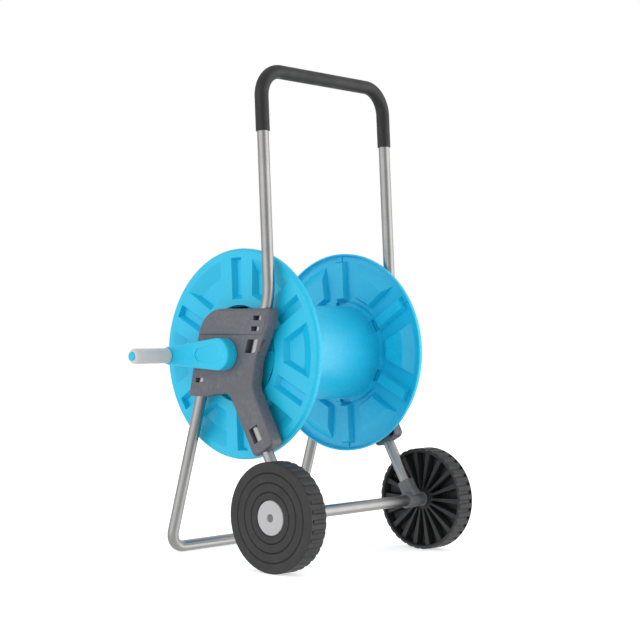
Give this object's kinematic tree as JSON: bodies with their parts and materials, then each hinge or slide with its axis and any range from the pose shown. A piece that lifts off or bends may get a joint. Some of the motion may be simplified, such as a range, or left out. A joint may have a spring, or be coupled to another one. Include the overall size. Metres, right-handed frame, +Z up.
{
  "type": "garden hose reel cart",
  "caption": "Two-wheeled garden cart with a bent tube frame, a hand-cranked reel for a water hose and a high push handle.",
  "frame": {"origin": "on the ground, under the centre of the bounding box", "axes": "+Z up, +X from the stand towards the wheels, +Y from the crank side towards the water inlet side"},
  "size_m": [0.4161, 0.4964, 0.8469],
  "materials": {
    "frame_tube": "bright zinc plated tube",
    "soft_grip": "matt black sleeve",
    "bracket_plastic": "fine grained grey",
    "plate_plastic": "fine grained grey",
    "bush_plastic": "natural white",
    "fastener_steel": "zinc plated",
    "reel_plastic": "satin light blue",
    "crank_plastic": "satin light blue",
    "journal_plastic": "dark grey",
    "seal_rubber": "black",
    "water_tube_pvc": "translucent grey",
    "connector_plastic": "dark grey",
    "crank_grip_plastic": "light grey",
    "wheel_plastic": "matt charcoal",
    "hub_cap_plastic": "light grey"
  },
  "bodies": {
    "frame": {"handle_tube": "frame_tube", "handle_grip": "soft_grip", "stand_tube": "frame_tube", "strut_tube_crank": "frame_tube", "strut_tube_inlet": "frame_tube", "axle_tube": "frame_tube", "axle_bracket_crank": "bracket_plastic", "axle_bracket_inlet": "bracket_plastic", "side_plate_crank": "plate_plastic", "side_plate_inlet": "plate_plastic", "bearing_bush_crank": "bush_plastic", "bearing_bush_inlet": "bush_plastic", "plate_screws_crank": "fastener_steel", "plate_screws_inlet": "fastener_steel", "bracket_screws": "fastener_steel", "push_nut_crank": "fastener_steel", "push_nut_inlet": "fastener_steel"},
    "reel": {"flange_crank": "reel_plastic", "flange_inlet": "reel_plastic", "drum": "reel_plastic", "journal_crank": "journal_plastic", "journal_inlet": "journal_plastic", "inlet_o_ring": "seal_rubber", "water_tube": "water_tube_pvc", "outlet_connector": "connector_plastic", "crank_arm": "crank_plastic", "crank_pin": "crank_plastic"},
    "crank_handle": {"crank_grip": "crank_grip_plastic"},
    "wheel_crank_side": {"wheel_crank": "wheel_plastic", "hub_cap_crank": "hub_cap_plastic"},
    "wheel_inlet_side": {"wheel_inlet": "wheel_plastic", "hub_cap_inlet": "hub_cap_plastic"},
    "inlet_swivel": {"inlet_elbow": "connector_plastic"}
  },
  "joints": [
    {"name": "reel_spin", "type": "hinge", "parent": "frame", "child": "reel", "pos_m": [-0.02643, 0.03283, 0.3547], "axis": [0, 1, 0], "continuous": true},
    {"name": "crank_grip_spin", "type": "hinge", "parent": "reel", "child": "crank_handle", "pos_m": [-0.14636, -0.20717, 0.35051], "axis": [0, 1, 0], "continuous": true},
    {"name": "wheel_crank_spin", "type": "hinge", "parent": "frame", "child": "wheel_crank_side", "pos_m": [0.11727, -0.16407, 0.091], "axis": [0, 1, 0], "continuous": true},
    {"name": "wheel_inlet_spin", "type": "hinge", "parent": "frame", "child": "wheel_inlet_side", "pos_m": [0.11727, 0.22973, 0.091], "axis": [0, 1, 0], "continuous": true},
    {"name": "inlet_swivel_turn", "type": "hinge", "parent": "frame", "child": "inlet_swivel", "pos_m": [-0.02643, 0.22483, 0.3547], "axis": [0, 1, 0], "continuous": true}
  ]
}
